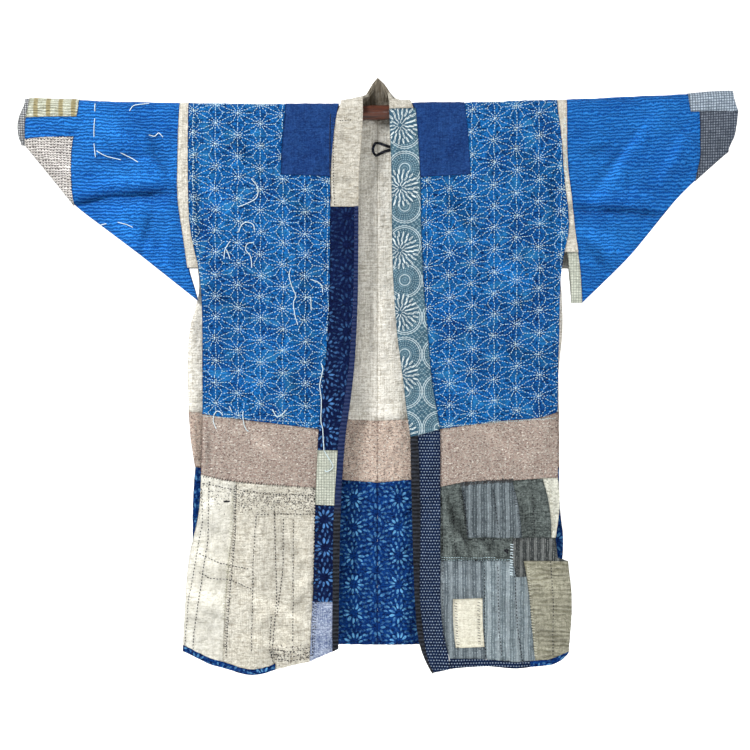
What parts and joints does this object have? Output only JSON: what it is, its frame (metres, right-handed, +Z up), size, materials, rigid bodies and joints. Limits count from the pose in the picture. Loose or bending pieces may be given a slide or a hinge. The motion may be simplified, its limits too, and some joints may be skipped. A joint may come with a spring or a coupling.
{
  "type": "kimono on a rod",
  "caption": "Short patched work kimono of stitched cotton, spread along a slim wooden rod, with open front, collar band and tapered sleeves.",
  "frame": {"origin": "on the rod's axis at its middle, where the garment is held up", "axes": "+X along the rod towards the viewer's right, which is the wearer's left; +Y away from the viewer, through the back; +Z up"},
  "size_m": [1.2061, 0.0439, 1.005],
  "materials": {
    "rod_wood": "smooth dark reddish branch with a soft polish",
    "blue_sashiko": "faded indigo cotton with a white hemp-leaf pattern in running stitch",
    "sleeve_blue": "brighter blue cotton rippled by close rows of running stitch",
    "navy_cotton": "plain navy cotton, a little faded",
    "indigo_stencil": "dark indigo cotton with a faint stencilled leaf repeat",
    "linen": "coarse natural linen with slubs",
    "beige_cotton": "ribbed unbleached cotton",
    "mauve_tweed": "mauve cotton flecked with cream",
    "blue_stencil": "deep blue cotton with a lighter stencilled leaf repeat",
    "cream_cotton": "cream cotton with darned rows of dark stitches",
    "grey_cream": "greyish cream cotton with darned rows",
    "grey_stripe": "blue-grey striped cotton",
    "grey_green": "grey-green cotton",
    "charcoal": "charcoal ribbed cotton with white whip stitches",
    "taupe": "taupe cotton with dark rows of stitches",
    "pale_cream": "pale cream darned patch",
    "chambray": "pale blue flecked cotton",
    "small_check": "small pale check",
    "teal_print": "teal-grey cotton printed with white flowers and dotted waves",
    "navy_dotted": "navy cotton with close rows of white dots",
    "ribbed_black": "black ribbed edge binding",
    "tape": "natural woven tape",
    "yellow_check": "yellowish check",
    "speckled": "pale cloth speckled with dark stitches",
    "grey_check": "light grey check",
    "dark_check": "dark grey check"
  },
  "bodies": {
    "root": {"body_right": "blue_sashiko", "back_band_right": "mauve_tweed", "back_skirt_right": "grey_cream", "lining_linen_right": "linen", "lining_mauve_right": "mauve_tweed", "lining_stencil_right": "blue_stencil", "shoulder_patch_right": "navy_cotton", "armhole_binding_right": "tape", "front_band_right": "mauve_tweed", "body_left": "blue_sashiko", "back_band_left": "mauve_tweed", "back_skirt_left": "grey_cream", "lining_linen_left": "linen", "lining_mauve_left": "mauve_tweed", "lining_stencil_left": "blue_stencil", "shoulder_patch_left": "navy_cotton", "armhole_binding_left": "tape", "front_band_left": "mauve_tweed", "skirt_cream_light": "cream_cotton", "skirt_cream_grey": "grey_cream", "hem_stencil_right": "blue_stencil", "collar_right_indigo": "indigo_stencil", "collar_right_chambray": "chambray", "collar_binding_right": "ribbed_black", "collar_patch_check": "small_check", "skirt_grey_green": "grey_green", "skirt_cream_side": "cream_cotton", "skirt_charcoal": "charcoal", "skirt_stripe_front": "grey_stripe", "skirt_stripe_middle": "grey_stripe", "skirt_taupe": "taupe", "hem_dotted_left": "navy_dotted", "hem_stencil_left": "blue_stencil", "patch_stripe": "grey_stripe", "patch_cream": "pale_cream", "collar_left_print": "teal_print", "collar_left_dotted": "navy_dotted", "collar_binding_left": "ribbed_black", "collar_neck": "beige_cotton", "sleeve_right": "sleeve_blue", "sleeve_left": "sleeve_blue", "cuff_facing_right": "grey_check", "cuff_patch_yellow": "yellow_check", "cuff_patch_speckled": "speckled", "cuff_patch_grey": "grey_check", "cuff_patch_dark": "dark_check", "underarm_binding": "small_check", "neck_loop": "ribbed_black", "rod": "rod_wood"}
  },
  "joints": []
}
